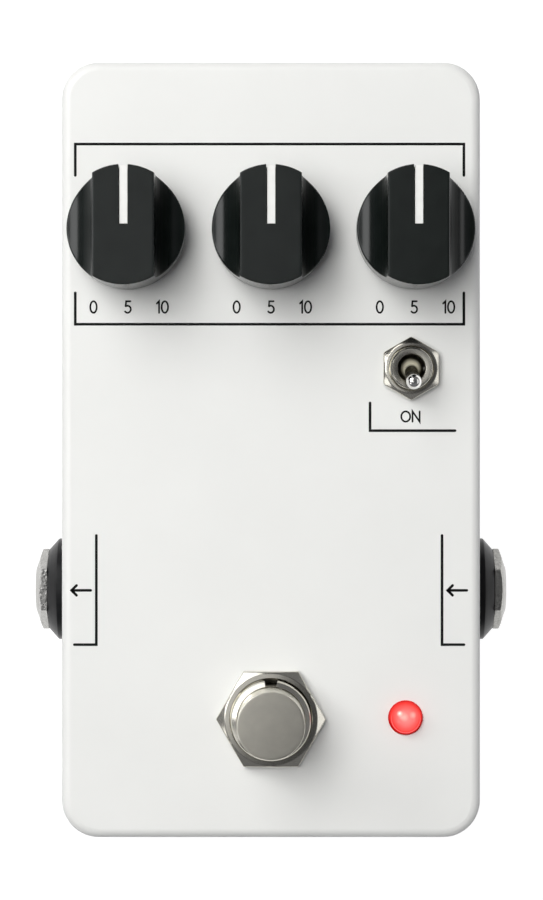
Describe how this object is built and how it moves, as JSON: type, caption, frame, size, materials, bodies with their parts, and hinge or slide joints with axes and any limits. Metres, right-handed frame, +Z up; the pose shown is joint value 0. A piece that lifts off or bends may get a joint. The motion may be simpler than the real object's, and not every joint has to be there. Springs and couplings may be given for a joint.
{
  "type": "tape echo unit",
  "caption": "Compact tape echo pedal: a cast box with three bar knobs, a toggle, a red lamp and a foot switch on top, a signal jack in each side and a power jack in the rear.",
  "frame": {"origin": "on the ground, under the centre of the box's outline", "axes": "+X to the player's right, where the input jack is; +Y to the rear, away from the foot switch; +Z up"},
  "size_m": [0.0738, 0.1202, 0.0556],
  "materials": {
    "white_paint": "smooth white powder coat",
    "zinc_screw": "zinc plated",
    "knob_black": "fine matt moulded",
    "pointer_white": "smooth",
    "shaft_brass": "turned",
    "nickel": "bright nickel plate",
    "satin_metal": "satin turned",
    "steel": "plain",
    "lens_red": "clear red resin, lit",
    "black_plastic": "moulded",
    "blue_plastic": "moulded",
    "tinned_metal": "tinned",
    "circuit_board": "solder resist",
    "capacitor_can": "drawn can",
    "film_yellow": "boxed film capacitor",
    "resistor_black": "glazed ceramic"
  },
  "bodies": {
    "housing": {"base_plate": "white_paint", "base_plate_screws": "zinc_screw", "chip_resistors": "resistor_black", "echo_chips": "black_plastic", "electrolytic_capacitors": "capacitor_can", "enclosure": "white_paint", "film_capacitors": "film_yellow", "footswitch_board": "circuit_board", "footswitch_body": "blue_plastic", "footswitch_bushing": "nickel", "footswitch_frame": "steel", "footswitch_lock_nut": "nickel", "footswitch_lugs": "tinned_metal", "footswitch_nut": "nickel", "footswitch_spring": "steel", "footswitch_washer": "nickel", "input_jack_contacts": "tinned_metal", "input_jack_housing": "black_plastic", "input_jack_nut": "nickel", "input_jack_washer": "black_plastic", "led_lamp": "lens_red", "led_leads": "tinned_metal", "led_spacer": "black_plastic", "link_header": "black_plastic", "link_pins": "tinned_metal", "main_board": "circuit_board", "mix_pot_frame": "nickel", "mix_pot_housing": "blue_plastic", "output_jack_contacts": "tinned_metal", "output_jack_housing": "black_plastic", "output_jack_nut": "nickel", "output_jack_washer": "black_plastic", "pot_nuts": "nickel", "pot_terminals": "tinned_metal", "pot_washers": "nickel", "power_jack_contact": "tinned_metal", "power_jack_housing": "black_plastic", "power_jack_pin": "nickel", "repeats_pot_frame": "nickel", "repeats_pot_housing": "blue_plastic", "speed_pot_frame": "nickel", "speed_pot_housing": "blue_plastic", "toggle_body": "blue_plastic", "toggle_bushing": "nickel", "toggle_lock_washer": "nickel", "toggle_nut": "nickel", "toggle_pivot_pin": "steel", "toggle_terminals": "tinned_metal", "voltage_regulator": "black_plastic"},
    "mix_control": {"mix_knob": "knob_black", "mix_pointer": "pointer_white", "mix_shaft": "shaft_brass"},
    "speed_control": {"speed_knob": "knob_black", "speed_pointer": "pointer_white", "speed_shaft": "shaft_brass"},
    "repeats_control": {"repeats_knob": "knob_black", "repeats_pointer": "pointer_white", "repeats_shaft": "shaft_brass"},
    "lever": {"toggle_lever": "nickel"},
    "plunger": {"footswitch_plunger": "satin_metal"}
  },
  "joints": [
    {"name": "mix_turn", "type": "hinge", "parent": "housing", "child": "mix_control", "pos_m": [-0.0217, 0.0331, 0.0392], "axis": [0, 0, 1], "range_deg": [-150, 150]},
    {"name": "speed_turn", "type": "hinge", "parent": "housing", "child": "speed_control", "pos_m": [0, 0.0331, 0.0392], "axis": [0, 0, 1], "range_deg": [-150, 150]},
    {"name": "repeats_turn", "type": "hinge", "parent": "housing", "child": "repeats_control", "pos_m": [0.0217, 0.0331, 0.0392], "axis": [0, 0, 1], "range_deg": [-150, 150]},
    {"name": "toggle_throw", "type": "hinge", "parent": "housing", "child": "lever", "pos_m": [0.0212, 0.01232, 0.0382], "axis": [-1, 0, 0], "range_deg": [0, 21]},
    {"name": "footswitch_press", "type": "slide", "parent": "housing", "child": "plunger", "axis": [0, 0, -1], "range_m": [0, 0.0035], "stiffness_N_per_m": 1500, "springref_m": -0.004, "deforming": ["footswitch_spring"]}
  ]
}
